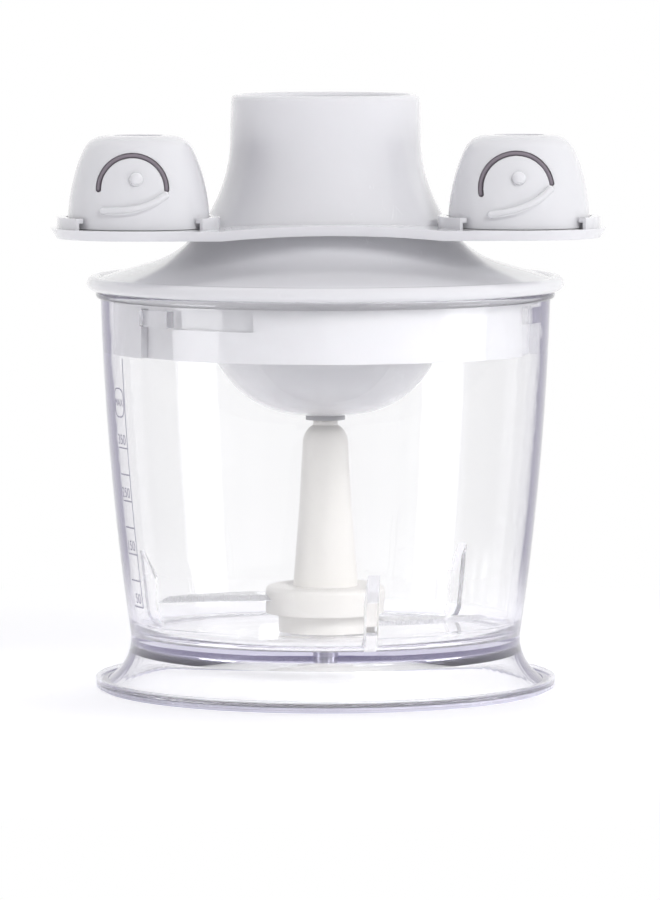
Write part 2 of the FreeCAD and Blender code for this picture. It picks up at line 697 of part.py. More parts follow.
def make_blade(z, heading):
    """Sickle blade with a ground edge: the root lies in the hub, the edge leads the turn."""
    reach = bowl_radius(FLOOR_TOP) - BOWL_WALL - BAFFLE_DEPTH - BLADE_CLEAR
    back = [(BLADE_ROOT, -BLADE_ROOT_W / 2), (reach * 0.6, -BLADE_ROOT_W / 3), (reach - 2, BLADE_TIP_W)]
    tip = (reach, BLADE_TIP_W * 1.6)
    edge = [(reach * 0.6, BLADE_ROOT_W / 2), (BLADE_ROOT, BLADE_ROOT_W / 2)]

    def loop(points, shift, height):
        spots = [FreeCAD.Vector(x, y + shift, height) for x, y in points]
        return Part.Arc(*spots).toShape()

    def link(first, last, height):
        return Part.LineSegment(FreeCAD.Vector(*first, height), FreeCAD.Vector(*last, height)).toShape()

    plate = Part.Face(Part.Wire([
        loop(back, 0, z), link(back[2], tip, z), loop([tip] + edge, 0, z), link(edge[1], back[0], z)]))
    blade = plate.extrude(FreeCAD.Vector(0, 0, BLADE_T))
    front = loop([tip] + edge, 0, z + BLADE_T)
    inner = loop([tip] + edge, -BLADE_BEVEL_W, z + BLADE_T)
    low = loop([tip] + edge, 0, z + BLADE_EDGE_T)
    wedge = Part.makeLoft([bevel_wire(front, low, inner, k / 6) for k in range(7)], True, True)
    blade = blade.cut(wedge)
    return spun(blade, heading)


def bevel_wire(front, low, inner, share):
    """Triangle across the ground edge of a blade, at a share of the edge's length."""
    spots = []
    for edge in (front, low, inner):
        first, last = edge.ParameterRange
        spots.append(edge.valueAt(first + (last - first) * share))
    return Part.makePolygon(spots + [spots[0]])


def make_knife_shaft(blades):
    """Knife stem: stepped hub, slender stem with a rounded shoulder and a hexagonal top in the carrier."""
    socket_z = BOWL_TOP + CARRIER_HUB_LOW - FLOOR_TOP
    shoulder_z = socket_z - SHOULDER_DROP
    neck_z = socket_z - NECK_STEM_DROP
    shoulder = (NECK_STEM_R + (SHOULDER_R - NECK_STEM_R) * 0.72, shoulder_z + (neck_z - shoulder_z) * 0.6)
    low_round = HUB_ROUND * (1 - math.sqrt(0.5))
    stem = turned(
        (0, KNIFE_LIFT), (COLLAR_R, KNIFE_LIFT), (COLLAR_R, COLLAR_TOP), (HUB_R, COLLAR_TOP),
        (HUB_R, HUB_TOP - HUB_ROUND),
        [(HUB_R - low_round, HUB_TOP - low_round), (HUB_R - HUB_ROUND, HUB_TOP)],
        (STEM_LOW_R, HUB_TOP), (STEM_MID_R, STEM_MID_Z), (SHOULDER_R, shoulder_z),
        [shoulder, (NECK_STEM_R, neck_z)], (NECK_STEM_R, socket_z - GAP), (0, socket_z - GAP))
    top = hexagon(SOCKET_FLATS - 2 * RUN, socket_z - GAP, socket_z + SOCKET_DEPTH - KNIFE_END_GAP)
    hollow = tube(HUB_HOLLOW_R0, HUB_HOLLOW_R1, KNIFE_LIFT, KNIFE_LIFT + HUB_HOLLOW_H)
    bore = tube(0, PIN_R + RUN, KNIFE_LIFT, PIN_TOP + GAP)
    return stem.fuse(top).cut([hollow, bore] + blades)


def yoke_outline(inset, z):
    """Outline of the yoke: a ring round the neck drawn out to a round tray at each front corner."""
    ring = flare_radius(tray_top() - YOKE_T) + YOKE_RING_W - inset
    tray = TRAY_R - inset
    reach = math.hypot(CAP_X, CAP_Y)
    lean = math.atan2(CAP_Y, CAP_X) + math.acos((ring - tray) / reach)
    side = (lean - math.pi / 2) / 2

    def at(sx, x, y):
        return FreeCAD.Vector(sx * x, y, z)

    def on_tray(sx, angle):
        return at(sx, CAP_X + tray * math.cos(angle), CAP_Y + tray * math.sin(angle))

    def on_ring(sx):
        return at(sx, ring * math.cos(lean), ring * math.sin(lean))

    right = Part.Arc(on_tray(1, -math.pi / 2), on_tray(1, side), on_tray(1, lean))
    left = Part.Arc(on_tray(-1, lean), on_tray(-1, side), on_tray(-1, -math.pi / 2))
    back = Part.Arc(on_ring(1), at(1, 0, ring), on_ring(-1))
    return Part.Wire([edge.toShape() for edge in (
        right, Part.LineSegment(on_tray(1, lean), on_ring(1)), back,
        Part.LineSegment(on_ring(-1), on_tray(-1, lean)), left,
        Part.LineSegment(on_tray(-1, -math.pi / 2), on_tray(1, -math.pi / 2)))])


def make_yoke():
    """Arched plate with a hole that follows the flare, and clips and a post for each cap."""
    top = tray_top()
    low = top - YOKE_T
    end = CAP_X + TRAY_R + YOKE_T
    side = outline((-end, low), (-ARCH_HALF, low), [(0, low + YOKE_ARCH), (ARCH_HALF, low)], (end, low),
                   (end, top), (ARCH_HALF, top), [(0, top + YOKE_ARCH), (-ARCH_HALF, top)], (-end, top))
    slab = shifted(side, y=-end).extrude(FreeCAD.Vector(0, 2 * end, 0))
    rise = YOKE_T + YOKE_ARCH
    taper = YOKE_TAPER / YOKE_T
    edges = [yoke_outline(YOKE_TAPER, low), yoke_outline(YOKE_TAPER - rise * taper, low + rise)]
    prism = Part.makeLoft(edges, True, True)
    beside = flare_points(YOKE_FIT)
    hole = turned((0, beside[0][1]), beside[0], beside[1:], (0, beside[-1][1]))
    plate = slab.common(prism).cut(hole)
    added = []
    for x in (-CAP_X, CAP_X):
        added.append(shifted(tube(POST_HOLE_R, POST_R, low, top + POST_H), x=x, y=CAP_Y))
        for middle in (0, 180):
            wall = sector(CLIP_R1 - CLIP_WALL, CLIP_R1, top - YOKE_T / 2, top + CLIP_H, middle, CLIP_SPAN)
            lip = sector(CLIP_R0, CLIP_R1, top + CLIP_H - CLIP_LIP_T, top + CLIP_H, middle, CLIP_SPAN)
            added.append(shifted(wall.fuse(lip), x=x, y=CAP_Y))
    return plate.fuse(added).cut(hole).removeSplitter()


def dome(grow):
    """Solid dome of a cap standing on z = 0, grown outwards by grow."""
    half_w = CAP_R + grow
    half_h = CAP_ELLIPSE_H + grow
    height = CAP_H + grow
    oval = Part.Ellipse(place(0, half_h), place(half_w, 0), place(0, 0))
    side = Part.ArcOfEllipse(oval, math.acos(height / half_h), math.pi / 2).toShape()
    top_r = half_w * math.sqrt(1 - (height / half_h) ** 2)
    base = curve([(half_w, 0), (0, 0)])
    axis = curve([(0, 0), (0, height)])
    top = curve([(0, height), (top_r, height)])
    face = Part.Face(Part.Wire(Part.__sortEdges__([side, base, axis, top])))
    return face.revolve(FreeCAD.Vector(), FreeCAD.Vector(0, 0, 1), 360)


def front_bar(edge, width):
    """Round-ended strip along an edge drawn in the front plane, set before the front of a cap."""
    strip = Part.Wire([edge]).makeOffset2D(width / 2, 0, False, False)
    return shifted(Part.Face(strip), y=-2 * CAP_R)


def make_cap(slot_r, tilt):
    """Hollow dome with a sleeve, bayonet tabs, an arc slot, a round boss and a raised bar, on z = 0."""
    skin = dome(0)
    top_edge = [e for e in skin.Edges if abs(e.BoundBox.ZMin - CAP_H) < 1e-6][0]
    hollow = dome(-CAP_WALL).common(tube(0, CAP_R, 0, CAP_H - CAP_TOP_T))
    shell = skin.makeFillet(CAP_ROUND, [top_edge]).cut(hollow)
    sleeve = tube(POST_R + RUN, POST_R + RUN + SLEEVE_WALL, SLEEVE_UP, CAP_H - CAP_TOP_T)
    tabs = [sector(CAP_R - CAP_WALL / 2, TAB_R, 0, TAB_H, a, TAB_SPAN) for a in (0, 180)]
    relief = dome(RELIEF).cut(dome(-CAP_WALL / 2))
    bar_path = Part.Arc(place(*BAR_LEFT), place(*BAR_BEND), place(*BAR_RIGHT)).toShape()
    ways = FreeCAD.Vector(0, 2 * CAP_R - SLOT_DEPTH_Y, 0)
    bar = front_bar(bar_path, BAR_W).extrude(ways)
    boss = Part.makeCylinder(BOSS_R, ways.y, FreeCAD.Vector(BOSS_X, -2 * CAP_R, BOSS_Z), ways)
    arch = Part.Arc(place(SLOT_X - slot_r, SLOT_Z), place(SLOT_X, SLOT_Z + slot_r),
                    place(SLOT_X + slot_r, SLOT_Z))
    slot = front_bar(arch.toShape(), SLOT_W).extrude(ways)
    pivot = FreeCAD.Vector(SLOT_X, 0, SLOT_Z)
    for piece in (bar, boss, slot):
        piece.rotate(pivot, FreeCAD.Vector(0, -1, 0), tilt)
    raised = [relief.common(bar), relief.common(boss)]
    recess = tube(0, CAP_RECESS_R, CAP_H - CAP_RECESS_H, CAP_H)
    return shell.fuse([sleeve] + tabs + raised).cut([recess, slot])


def main():
    upper = make_blade(UPPER_BLADE_Z, 180)
    lower = make_blade(LOWER_BLADE_Z, 0)
    cap_z = tray_top() + SEAT
    on_table = {
        "bowl": make_bowl(),
        "foot_ring": tube(FOOT_RING_R0, FOOT_RING_R1, 0, FOOT_RING_H),
    }
    on_floor = {
        "pivot_pin": make_pivot_pin(),
        "knife_shaft": make_knife_shaft([upper, lower]),
        "upper_blade": upper,
        "lower_blade": lower,
    }
    on_rim = {
        "lid_shell": make_lid_shell(),
        "drive_well": make_drive_well(),
        "lid_skirt": make_lid_skirt(),
        "lid_seal": make_lid_seal(),
        "gear_case": make_gear_case(),
        "gear_cover": make_gear_cover(),
        "gear_cover_screws": make_gear_cover_screws(),
        "ring_gear": make_ring_gear(),
        "sun_gear": make_sun_gear(),
        "planet_pins": make_planet_pins(),
        "planet_carrier": make_planet_carrier(),
        "thrust_washer": make_thrust_washer(),
        "output_bush": make_output_bush(),
        "shaft_seal": make_shaft_seal(),
        "input_bush": make_input_bush(),
        "input_seal": make_input_seal(),
        "drive_coupling": make_drive_coupling(),
        "yoke": make_yoke(),
        "cap_left": shifted(make_cap(SLOT_R, 0), x=-CAP_X, y=CAP_Y, z=cap_z),
        "cap_right": shifted(make_cap(RIGHT_SLOT_R, RIGHT_TILT), x=CAP_X, y=CAP_Y, z=cap_z),
    }
    for k, gear in enumerate(make_planet_gears()):
        on_rim[f"planet_gear_{k + 1}"] = gear
    os.makedirs("parts", exist_ok=True)
    for height, group in ((0, on_table), (FLOOR_TOP, on_floor), (BOWL_TOP, on_rim)):
        for name, shape in group.items():
            piece = shifted(shape, z=height)
            piece.exportStep(f"parts/{name}.step")
            print(name, len(piece.Solids), "solid", round(piece.Volume, 1), "mm3", piece.isValid())


main()
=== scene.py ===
# %% [markdown]
# # A baby food maker, dressed for its picture
#
# The object is a clear bowl with a knife in it, a white lid shaped like a trumpet, and a yoke with two domed
# caps that rides on the lid. Its solids come from the CAD frame, in metres, and stay where they are. This
# lesson sets up camera and light and gives every solid a finish. Then it adds a button and a bar to each cap,
# lays a mauve strip of painted shade in each arc slot, and prints the volume scale on the bowl.

# %% Load the frame and bake each solid's place into its mesh
import math

import bpy
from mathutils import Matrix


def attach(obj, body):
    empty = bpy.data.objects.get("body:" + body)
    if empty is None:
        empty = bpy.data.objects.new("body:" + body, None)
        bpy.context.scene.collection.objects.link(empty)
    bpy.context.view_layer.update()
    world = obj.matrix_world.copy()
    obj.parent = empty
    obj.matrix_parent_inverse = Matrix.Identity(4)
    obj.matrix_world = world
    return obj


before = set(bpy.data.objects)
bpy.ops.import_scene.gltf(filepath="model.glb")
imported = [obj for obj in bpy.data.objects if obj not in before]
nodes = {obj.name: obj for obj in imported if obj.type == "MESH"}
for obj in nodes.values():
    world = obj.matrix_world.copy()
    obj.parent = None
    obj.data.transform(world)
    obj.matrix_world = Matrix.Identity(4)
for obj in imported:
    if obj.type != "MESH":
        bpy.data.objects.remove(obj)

MM = 0.001
scene = bpy.context.scene
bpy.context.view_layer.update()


# %% [markdown]
# ## The camera
#
# The picture was taken from the front with a long lens, a little above the table: the foot shows as a wider
# ellipse than the rim of the lid. Both caps stand a little right of the axis, so the camera stood a few
# degrees to the left. A camera can be moved about until it looks right. Here its place is worked out instead,
# because the measures are known: one picture point is a quarter of a millimetre at the axis of the bowl.

# %% Place the camera
PICTURE_W, PICTURE_H = 660, 900
POINT = 0.25 * MM
AXIS_AT, TABLE_AT = 325.5, 688.0
CAMERA_DISTANCE = 1.6
CAMERA_HEIGHT = 0.19
CAMERA_TURN = math.radians(2.7)
SENSOR_H = 36

aside = (PICTURE_W / 2 - AXIS_AT) * POINT
drop = CAMERA_HEIGHT - (TABLE_AT - PICTURE_H / 2) * POINT
tilt = math.atan2(drop, CAMERA_DISTANCE)
sideways, ahead = math.sin(CAMERA_TURN), math.cos(CAMERA_TURN)
bpy.ops.object.camera_add(
    location=(aside * ahead - CAMERA_DISTANCE * sideways,
              -aside * sideways - CAMERA_DISTANCE * ahead, CAMERA_HEIGHT),
    rotation=(math.pi / 2 - tilt, 0, -CAMERA_TURN))
camera = bpy.context.object
camera.name = "studio_camera"
camera.data.sensor_fit = "VERTICAL"
camera.data.sensor_height = SENSOR_H
camera.data.lens = SENSOR_H * math.hypot(CAMERA_DISTANCE, drop) / (PICTURE_H * POINT)
camera.data.clip_start = 0.05
scene.camera = camera
print("lens", round(camera.data.lens, 1), "mm, tilted down", round(math.degrees(tilt), 2), "degrees")


# %% [markdown]
# ## The studio
#
# The object stands on white and is lit softly from the front and the sides. A white box could be built round
# it, but it would wash out white plastic. So the surround is white only for what the camera sees directly, in
# a gloss or through the clear bowl, and dimmer for what lights the object. Clear plastic gets its dark
# outlines from what lies beside the white paper. Light that was turned back inside the plastic comes from
# there, so for such light the surround is a dim violet grey.

# %% A blank surround
def add(tree, kind, **values):
    """New node with some of its properties set."""
    node = tree.nodes.new(kind)
    for name, value in values.items():
        setattr(node, name, value)
    return node


def wire(tree, start, end):
    """Link an output to an input, given as (node, socket) pairs."""
    tree.links.new(start[0].outputs[start[1]], end[0].inputs[end[1]])


world = bpy.data.worlds.new("white_surround")
scene.world = world
scene.view_settings.view_transform = "Standard"
world.use_nodes = True
tree = world.node_tree
tree.nodes.clear()
spot = add(tree, "ShaderNodeTexCoord")
apart = add(tree, "ShaderNodeSeparateXYZ")
wire(tree, (spot, "Generated"), (apart, "Vector"))
print("surround", world.name, "starts with", len(tree.nodes), "nodes")


# %% Light from the surround, a little stronger on the right
LEFT_LIGHT, RIGHT_LIGHT = 0.31, 0.38
COOL_WHITE = (0.95, 0.93, 1.0, 1)


def dial(node, **values):
    """Set inputs of a node, named with _ for a space, and hand the node back."""
    for label, value in values.items():
        node.inputs[label.replace("_", " ")].default_value = value
    return node


def remap(tree, source, **values):
    """Map Range node on a source, with some of its inputs set."""
    node = dial(add(tree, "ShaderNodeMapRange"), **values)
    wire(tree, source, (node, "Value"))
    return node


across = remap(tree, (apart, "X"), From_Min=-1.0, To_Min=LEFT_LIGHT, To_Max=RIGHT_LIGHT)
lit = dial(add(tree, "ShaderNodeBackground"), Color=COOL_WHITE)
wire(tree, (across, "Result"), (lit, "Strength"))
print("surround gives light from", LEFT_LIGHT, "on the left to", RIGHT_LIGHT, "on the right")


# %% Rays that see the surround directly
# Bounces are counted in whole numbers, so 0.5 parts none from any, and 2.5 below parts two from three.
ANY = 0.5


def sums(tree, operation, first, second=0.0):
    """Math node on two sources, each a (node, socket) pair or a number."""
    node = add(tree, "ShaderNodeMath", operation=operation)
    for k, source in enumerate((first, second)):
        if isinstance(source, tuple):
            wire(tree, source, (node, k))
        else:
            node.inputs[k].default_value = source
    return node


def seen_directly(tree):
    """1 for rays from the camera, a gloss or a clear body, 0 for rays that only carry light."""
    path = add(tree, "ShaderNodeLightPath")
    shown = sums(tree, "MAXIMUM", (path, "Is Camera Ray"), (path, "Is Glossy Ray"))
    shown = sums(tree, "MAXIMUM", (shown, 0), (path, "Is Transmission Ray"))
    unspent = sums(tree, "LESS_THAN", (path, "Diffuse Depth"), ANY)
    return sums(tree, "MULTIPLY", (shown, 0), (unspent, 0))


seen = seen_directly(tree)
print("surround tells seen rays from lighting rays, with", len(tree.nodes), "nodes")


# %% Rays that were turned back inside clear plastic
PAST_TWO = 2.5


def turned_back(tree):
    """1 for rays that were turned back inside a single wall of clear plastic on their way."""
    path = add(tree, "ShaderNodeLightPath")
    bounced = sums(tree, "GREATER_THAN", (path, "Glossy Depth"), ANY)
    entered = sums(tree, "GREATER_THAN", (path, "Transmission Depth"), ANY)
    once = sums(tree, "LESS_THAN", (path, "Transmission Depth"), PAST_TWO)
    passed = sums(tree, "MULTIPLY", (entered, 0), (once, 0))
    return sums(tree, "MULTIPLY", (bounced, 0), (passed, 0))


turned = turned_back(tree)
print("surround tells turned-back rays too, with", len(tree.nodes), "nodes")


# %% White where it is seen, dim where light was turned back
PLAIN_WHITE = (1, 1, 1, 1)
BESIDE_TINT = (0.19, 0.17, 0.29, 1)


def blend_shaders(tree, share, first, second):
    """Mix Shader node; share is a (node, socket) pair."""
    node = add(tree, "ShaderNodeMixShader")
    wire(tree, share, (node, 0))
    wire(tree, (first, 0), (node, 1))
    wire(tree, (second, 0), (node, 2))
    return node


white = dial(add(tree, "ShaderNodeBackground"), Color=PLAIN_WHITE)
beside = dial(add(tree, "ShaderNodeBackground"), Color=BESIDE_TINT)
shown = blend_shaders(tree, (seen, 0), lit, white)
shown = blend_shaders(tree, (turned, 0), shown, beside)
wire(tree, (shown, 0), (add(tree, "ShaderNodeOutputWorld"), "Surface"))
print("surround", world.name, "is done, with", len(tree.nodes), "nodes")


# %% Bounces that clear walls need
scene.cycles.max_bounces = 24
scene.cycles.glossy_bounces = 16
scene.cycles.transmission_bounces = 24
print("light may pass", scene.cycles.transmission_bounces, "clear skins")


# %% [markdown]
# ## The table
#
# A sheet of white paper. Near the object it shows the shadow; further away it runs out into plain white, so
# that no edge or horizon shows behind the object. It also throws light back up under the lid. A paper roll
# bent up behind the object would hide the horizon too, but it would show in views from the side.

# %% Sheet of paper
TABLE_SIZE = 6

bpy.ops.object.select_all(action="DESELECT")
bpy.ops.mesh.primitive_plane_add(size=TABLE_SIZE, location=(0, 0, 0))
table = bpy.context.object
table.name = "white_table"
paper = bpy.data.materials.new("table_white")
paper.use_nodes = True
table.data.materials.append(paper)
print("table", table.name, TABLE_SIZE, "m wide")


# %% Paper near the object: matt, with a glow that lifts it to white
PAPER_COLOUR = (0.78, 0.78, 0.8, 1)
PAPER_GLOW, PAPER_BOUNCE = 0.40, 0.22

tree = paper.node_tree
tree.nodes.clear()
matt = dial(add(tree, "ShaderNodeBsdfDiffuse"), Color=PAPER_COLOUR)
bright = sums(tree, "MULTIPLY", (seen_directly(tree), 0), PAPER_GLOW)
bright = sums(tree, "MAXIMUM", (bright, 0), PAPER_BOUNCE)
glow = add(tree, "ShaderNodeEmission")
wire(tree, (bright, 0), (glow, "Strength"))
near = add(tree, "ShaderNodeAddShader")
wire(tree, (matt, 0), (near, 0))
wire(tree, (glow, 0), (near, 1))
print("paper glows", PAPER_GLOW, "where it is seen and", PAPER_BOUNCE, "for the object")


# %% Paper further away: plain white
NEAR, FAR = 0.10, 0.26

spot = add(tree, "ShaderNodeTexCoord")
reach = add(tree, "ShaderNodeVectorMath", operation="LENGTH")
wire(tree, (spot, "Object"), (reach, 0))
fade = remap(tree, (reach, "Value"), From_Min=NEAR, From_Max=FAR)
fade.interpolation_type = "SMOOTHSTEP"
plain = add(tree, "ShaderNodeEmission")
beside = dial(add(tree, "ShaderNodeEmission"), Color=BESIDE_TINT)
away = sums(tree, "MULTIPLY", (fade, "Result"), (seen_directly(tree), 0))
shown = blend_shaders(tree, (away, 0), near, plain)
dim = sums(tree, "MULTIPLY", (fade, "Result"), (turned_back(tree), 0))
shown = blend_shaders(tree, (dim, 0), shown, beside)
wire(tree, (shown, 0), (add(tree, "ShaderNodeOutputMaterial"), "Surface"))
print("paper runs out to white from", NEAR, "to", FAR, "m")


# %% [markdown]
# ## The lamps
#
# Six soft lamps: the strongest before the object, a little to its right, and one above that puts the shadow
# of the yoke on the flare of the lid. Two low ones stand at the sides. The caps keep their light off the foot
# of the neck, which darkens there. Two low ones behind whiten the outer flare and keep the back from going
# dull. One large lamp would be simpler, but would leave the white pieces without shape. A gloss shows the
# white paper, not the lamps, and a clear wall hides the lamps behind it.

# %% Lamps
LOOK_AT_HEIGHT = 0.08
LAMPS = {
    "front_softbox": {"place": (0.6, -1.05, 0.75), "size": (0.5, 0.5), "watts": 7.9},
    "right_softbox": {"place": (1.0, -0.25, 0.16), "size": (0.5, 0.3), "watts": 1.5},
    "left_softbox": {"place": (-1.0, -0.3, 0.16), "size": (0.5, 0.3), "watts": 1.8},
    "top_softbox": {"place": (0.05, 0.15, 1.1), "size": (0.4, 0.4), "watts": 2.6},
    "back_left_softbox": {"place": (-0.55, 1.1, 0.41), "size": (0.5, 0.4), "watts": 3.0},
    "back_right_softbox": {"place": (0.55, 1.1, 0.41), "size": (0.5, 0.4), "watts": 2.6},
}


def softbox(name, place, size, watts):
    """Rectangular lamp that looks at the middle of the object."""
    bpy.ops.object.light_add(type="AREA", location=place)
    lamp = bpy.context.object
    lamp.name = name
    lamp.data.shape = "RECTANGLE"
    lamp.data.size, lamp.data.size_y = size
    lamp.data.energy = watts
    x, y, z = place
    lean = math.atan2(math.hypot(x, y), z - LOOK_AT_HEIGHT)
    lamp.rotation_euler = (lean, 0, math.atan2(-x, y) + math.pi)
    lamp.visible_camera = False
    lamp.visible_glossy = False
    lamp.visible_transmission = y < 0
    return lamp


for name, values in LAMPS.items():
    print(softbox(name, **values).name, values["watts"], "W")


# %% [markdown]
# ## Effects that several finishes share
#
# Moulded plastic is never quite even: the skin has a faint orange peel, the colour clouds a little, and
# handling and dust leave their traces. Each effect could be drawn anew in every finish. Here each is a node
# group of its own, so that a finish can take as much of it as it needs. A group hands out only colours, masks
# and heights, and the shader stays in the finish. The skin comes first.

# %% Moulded skin: orange peel
def effect(name, inputs, outputs):
    """Empty node group with float or colour sockets; colours are the ones named 'Colour'."""
    group = bpy.data.node_groups.new(name, "ShaderNodeTree")
    for label, value in inputs:
        kind = "NodeSocketColor" if label == "Colour" else "NodeSocketFloat"
        socket = group.interface.new_socket(label, in_out="INPUT", socket_type=kind)
        socket.default_value = value
    for label in outputs:
        kind = "NodeSocketColor" if label == "Colour" else "NodeSocketFloat"
        group.interface.new_socket(label, in_out="OUTPUT", socket_type=kind)
    return group, add(group, "NodeGroupInput"), add(group, "NodeGroupOutput")


def noise(tree, vector, **values):
    """Noise texture laid on a vector, with some of its inputs set."""
    node = dial(add(tree, "ShaderNodeTexNoise"), **values)
    wire(tree, vector, (node, "Vector"))
    return node


skin, given, handed = effect(
    "moulded_skin",
    [("Colour", (0.8, 0.8, 0.8, 1)), ("Cloud", 0.03), ("Peel size", 900.0)],
    ["Colour", "Height", "Sheen"])
spot = add(skin, "ShaderNodeTexCoord")
peel = noise(skin, (spot, "Object"), Detail=2.0)
wire(skin, (given, "Peel size"), (peel, "Scale"))
wire(skin, (peel, "Fac"), (handed, "Height"))
print("group", skin.name, "hands out a height")


# %% Moulded skin: clouded colour
CLOUD_SIZE = 38.0


def mixed(tree, blend, share, first, second):
    """Colour mix; share, first and second are (node, socket) pairs or plain values."""
    node = add(tree, "ShaderNodeMix", data_type="RGBA", blend_type=blend)
    for k, source in ((0, share), (6, first), (7, second)):
        if isinstance(source, tuple) and isinstance(source[0], bpy.types.Node):
            wire(tree, source, (node, k))
        else:
            node.inputs[k].default_value = source
    return node


cloud = noise(skin, (spot, "Object"), Scale=CLOUD_SIZE, Detail=4.0)
centred = sums(skin, "SUBTRACT", (cloud, "Fac"), 0.5)
swing = sums(skin, "MULTIPLY", (centred, 0), (given, "Cloud"))
level = sums(skin, "ADD", (swing, 0), 1.0)
grey = add(skin, "ShaderNodeCombineColor")
for channel in ("Red", "Green", "Blue"):
    wire(skin, (level, 0), (grey, channel))
tone = mixed(skin, "MULTIPLY", 1.0, (given, "Colour"), (grey, "Color"))
wire(skin, (tone, 2), (handed, "Colour"))
wire(skin, (cloud, "Fac"), (handed, "Sheen"))
print("group", skin.name, "hands out a colour and a sheen too")


# %% [markdown]
# ## Handling scuffs
#
# Plastic that is washed and put away gets hair-fine lines, in patches and in the two ways that a hand wipes.
# They could be drawn as curves, but it would take thousands. A noise that is stretched in one direction has
# such lines in it already: it draws one wherever it passes its middle value.

# %% Handling scuffs: hair-fine lines in two directions
HAIR_WIDTH, PATCH_SIZE = 0.006, 60.0
LAYS = ((0.5, (1, 0.03, 0.05)), (-0.9, (0.04, 1, 0.06)))

scuffs, given, handed = effect("handling_scuffs", [("Amount", 0.2), ("Line size", 420.0)], ["Mask"])
spot = add(scuffs, "ShaderNodeTexCoord")
lines = []
for turn, stretch in LAYS:
    lay = dial(add(scuffs, "ShaderNodeMapping"), Rotation=(turn, turn / 2, turn), Scale=stretch)
    wire(scuffs, (spot, "Object"), (lay, "Vector"))
    hair = noise(scuffs, (lay, 0), Detail=1.0)
    wire(scuffs, (given, "Line size"), (hair, "Scale"))
    off = sums(scuffs, "ABSOLUTE", (sums(scuffs, "SUBTRACT", (hair, "Fac"), 0.5), 0))
    lines.append(sums(scuffs, "LESS_THAN", (off, 0), HAIR_WIDTH))
crossed = sums(scuffs, "MAXIMUM", (lines[0], 0), (lines[1], 0))
patch = noise(scuffs, (spot, "Object"), Scale=PATCH_SIZE)
where = remap(scuffs, (patch, "Fac"), From_Min=0.5, From_Max=0.7)
some = sums(scuffs, "MULTIPLY", (crossed, 0), (where, "Result"))
scaled = sums(scuffs, "MULTIPLY", (some, 0), (given, "Amount"))
wire(scuffs, (scaled, 0), (handed, "Mask"))
print("group", scuffs.name, "with", len(lines), "lays of lines")


# %% [markdown]
# ## Turned rings
#
# A lathe leaves fine circles round the axis of a pin or a bush. They could be cut into the mesh, but they are
# too fine for that. Here a wave along the distance from the axis gives their height, and a little noise keeps
# them from being perfect.

# %% Turned rings: the fine circles that a lathe leaves round the axis
DRIFT_SIZE = 700.0

rings, given, handed = effect("turned_rings", [("Pitch", 9000.0), ("Wander", 0.15)], ["Height", "Mask"])
spot = add(rings, "ShaderNodeTexCoord")
apart = add(rings, "ShaderNodeSeparateXYZ")
wire(rings, (spot, "Object"), (apart, "Vector"))
square_x = sums(rings, "MULTIPLY", (apart, "X"), (apart, "X"))
square_y = sums(rings, "MULTIPLY", (apart, "Y"), (apart, "Y"))
radius = sums(rings, "SQRT", (sums(rings, "ADD", (square_x, 0), (square_y, 0)), 0))
along = sums(rings, "ADD", (radius, 0), (apart, "Z"))
wave = sums(rings, "SINE", (sums(rings, "MULTIPLY", (along, 0), (given, "Pitch")), 0))
drift = noise(rings, (spot, "Object"), Scale=DRIFT_SIZE)
waver = sums(rings, "MULTIPLY", (drift, "Fac"), (given, "Wander"))
height = sums(rings, "ADD", (sums(rings, "MULTIPLY", (wave, 0), 0.5), 0), (waver, 0))
wire(rings, (height, 0), (handed, "Height"))
wire(rings, (drift, "Fac"), (handed, "Mask"))
print("group", rings.name)


# %% [markdown]
# ## Settled dust
#
# Even a clean object has a trace of dust on what faces up. Specks could be strewn as tiny meshes, but a mask
# is enough here: it shows where the surface faces up and a fine noise is high.

# %% Settled dust: a trace on what faces up
SPECK_SIZE = 1500.0

dust, given, handed = effect("settled_dust", [("Amount", 0.05)], ["Mask"])
facing = add(dust, "ShaderNodeNewGeometry")
apart = add(dust, "ShaderNodeSeparateXYZ")
wire(dust, (facing, "Normal"), (apart, "Vector"))
up = remap(dust, (apart, "Z"), From_Min=0.5, From_Max=1.0)
spot = add(dust, "ShaderNodeTexCoord")
specks = noise(dust, (spot, "Object"), Scale=SPECK_SIZE, Detail=3.0)
thick = remap(dust, (specks, "Fac"), From_Min=0.55, From_Max=0.8)
lying = sums(dust, "MULTIPLY", (up, "Result"), (thick, "Result"))
lying = sums(dust, "MULTIPLY", (lying, 0), (given, "Amount"))
wire(dust, (lying, 0), (handed, "Mask"))
print("group", dust.name)


# %% [markdown]
# ## Opaque plastics
#
# The lid, the yoke and the caps are injection-moulded in the same glossy white, faintly cool in the shade.
# A polished mould gives them a second, sharper gloss, which is a coat here, and light goes a little way into
# the white. The knife is a warmer, duller white. Inside the lid are grey housing plastic and a creamy gear
# plastic. They differ only in colour, gloss and grain, so one recipe makes them all from the shared effects.

# %% Helpers for finishes
def group_node(tree, group, **values):
    """Node that runs an effect, with its inputs set."""
    return dial(add(tree, "ShaderNodeGroup", node_tree=group), **values)


def blank_finish(name):
    """New material with a Principled shader, given back with its node tree."""
    finish = bpy.data.materials.new(name)
    finish.use_nodes = True
    tree = finish.node_tree
    tree.nodes.clear()
    shader = add(tree, "ShaderNodeBsdfPrincipled")
    out = add(tree, "ShaderNodeOutputMaterial")
    wire(tree, (shader, 0), (out, "Surface"))
    return finish, tree, shader


def dented(tree, shader, height, strength, depth):
    """Bump from a height to the shader's normal; depth is in metres."""
    dent = dial(add(tree, "ShaderNodeBump"), Strength=strength, Distance=depth)
    wire(tree, height, (dent, "Height"))
    wire(tree, (dent, 0), (shader, "Normal"))


